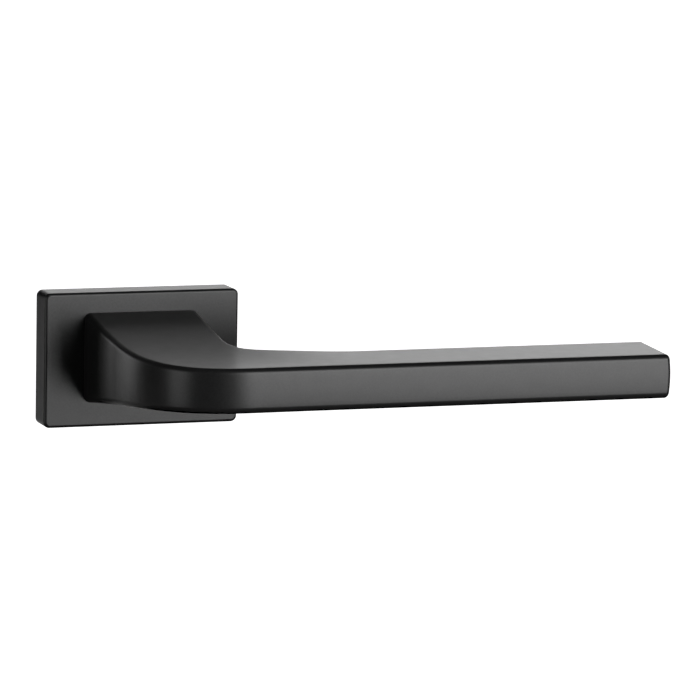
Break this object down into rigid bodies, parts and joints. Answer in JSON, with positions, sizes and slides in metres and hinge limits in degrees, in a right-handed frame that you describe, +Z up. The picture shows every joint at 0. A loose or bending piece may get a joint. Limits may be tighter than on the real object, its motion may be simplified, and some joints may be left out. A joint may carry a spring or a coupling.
{
  "type": "door lever handle",
  "caption": "Matt black door lever on a slim rectangular rose, with a tapering neck, a flat straight bar, a sprung return and a square spindle.",
  "frame": {"origin": "on the lever's turning axis, in the plane of the door face that the rose sits on", "axes": "+X along the lever to its tip, +Y into the door along the spindle, +Z up; the handle stands out towards -Y"},
  "size_m": [0.1517, 0.1263, 0.035],
  "materials": {
    "matt_black": "matt black powder coat, fine orange-peel grain",
    "cast_zinc": "bare zinc die casting, slightly grained",
    "zinc_plated_steel": "bright zinc plate",
    "spring_steel": "dark oiled spring steel",
    "acetal": "natural acetal, satin"
  },
  "bodies": {
    "rose": {"rose_cover": "matt_black", "mounting_plate": "cast_zinc", "bearing_bush": "acetal", "spring_cover_plate": "zinc_plated_steel", "cover_clip_right": "spring_steel", "cover_clip_left": "spring_steel", "return_spring": "spring_steel", "cover_plate_screw_1": "zinc_plated_steel", "cover_plate_screw_2": "zinc_plated_steel", "cover_plate_screw_3": "zinc_plated_steel", "cover_plate_screw_4": "zinc_plated_steel", "threaded_post_left": "zinc_plated_steel", "threaded_post_right": "zinc_plated_steel", "wood_screw_1": "zinc_plated_steel", "wood_screw_2": "zinc_plated_steel", "wood_screw_3": "zinc_plated_steel", "wood_screw_4": "zinc_plated_steel"},
    "lever": {"lever_handle": "matt_black", "grub_screw": "spring_steel", "spindle": "zinc_plated_steel", "spring_driver": "zinc_plated_steel", "retaining_ring": "spring_steel", "thrust_washer": "zinc_plated_steel"}
  },
  "joints": [
    {"name": "lever_turn", "type": "hinge", "parent": "rose", "child": "lever", "pos_m": [0, 0, 0], "axis": [0, 1, 0], "range_deg": [0, 45], "stiffness_Nm_per_rad": 0.8, "springref_deg": -28.65, "deforming": ["return_spring"]}
  ]
}
